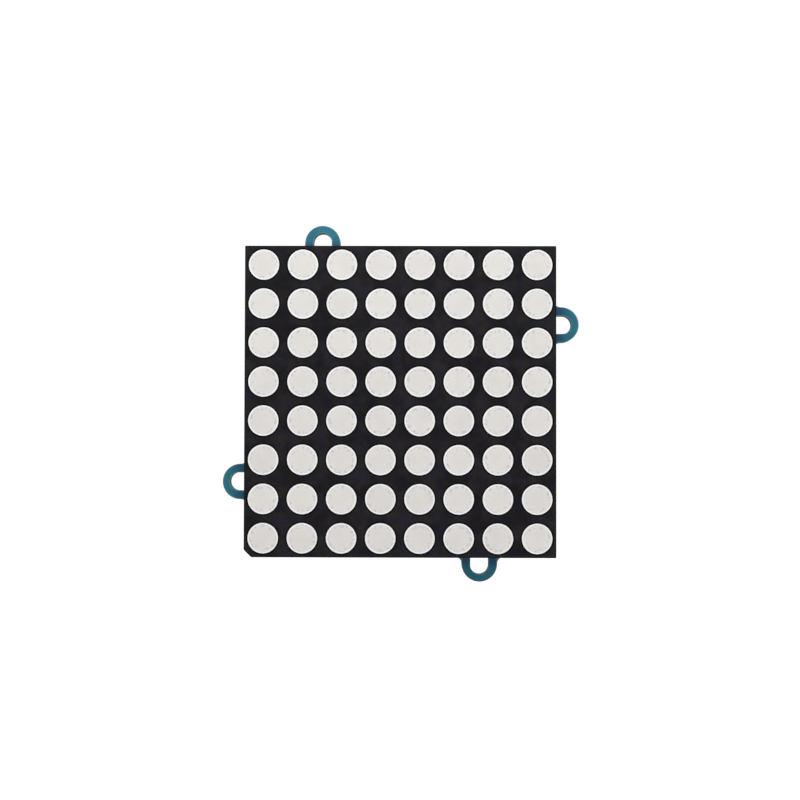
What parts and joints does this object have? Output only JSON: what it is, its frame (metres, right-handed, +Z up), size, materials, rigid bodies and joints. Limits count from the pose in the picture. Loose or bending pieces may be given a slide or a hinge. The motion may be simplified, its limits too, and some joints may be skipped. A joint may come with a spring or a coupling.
{
  "type": "led dot matrix display module",
  "caption": "Square LED dot matrix display with round dots in a black housing, soldered to a teal driver carrier board with a loop-shaped ear on each side and a cable connector behind.",
  "frame": {"origin": "middle of the four ear slots, on the rear face of the carrier board", "axes": "+Z up the display, +Y out of the back through the ear slots, the display face looks towards -Y, +X to the right of someone who looks at the face"},
  "size_m": [0.0452, 0.0179, 0.0452],
  "materials": {
    "housing": "moulded, printed black, fine mottle",
    "epoxy": "cast, milky, flush with the face",
    "laminate": "glass epoxy laminate",
    "die": "light emitting die",
    "bond_gold": "drawn gold wire",
    "tinned_pin": "tinned wire",
    "solder_mask": "teal solder mask over laminate",
    "pad": "tinned copper land",
    "solder": "bright solder",
    "mould_compound": "matte black moulding compound",
    "lead": "tinned lead frame",
    "shroud": "natural nylon",
    "contact": "plated contact",
    "ceramic_cap": "fired ceramic",
    "resistor": "glazed resistor",
    "end_cap": "tinned end cap"
  },
  "bodies": {
    "root": {"reflector_shell": "housing", "epoxy_fill": "epoxy", "led_board": "laminate", "led_dies": "die", "bond_wires": "bond_gold", "matrix_pin_01": "tinned_pin", "matrix_pin_02": "tinned_pin", "matrix_pin_03": "tinned_pin", "matrix_pin_04": "tinned_pin", "matrix_pin_05": "tinned_pin", "matrix_pin_06": "tinned_pin", "matrix_pin_07": "tinned_pin", "matrix_pin_08": "tinned_pin", "matrix_pin_09": "tinned_pin", "matrix_pin_10": "tinned_pin", "matrix_pin_11": "tinned_pin", "matrix_pin_12": "tinned_pin", "matrix_pin_13": "tinned_pin", "matrix_pin_14": "tinned_pin", "matrix_pin_15": "tinned_pin", "matrix_pin_16": "tinned_pin", "carrier_board": "solder_mask", "copper_tracks": "solder_mask", "solder_pads": "pad", "matrix_pin_solder": "solder", "driver_ic_body": "mould_compound", "driver_ic_leads": "lead", "driver_ic_solder": "solder", "connector_housing": "shroud", "connector_pin_1": "contact", "connector_pin_2": "contact", "connector_pin_3": "contact", "connector_pin_4": "contact", "connector_solder": "solder", "decoupling_capacitor": "ceramic_cap", "bulk_capacitor": "ceramic_cap", "pull_up_resistor_1": "resistor", "pull_up_resistor_2": "resistor", "address_resistor_1": "resistor", "address_resistor_2": "resistor", "address_resistor_3": "resistor", "chip_end_caps": "end_cap", "chip_solder": "solder"}
  },
  "joints": []
}
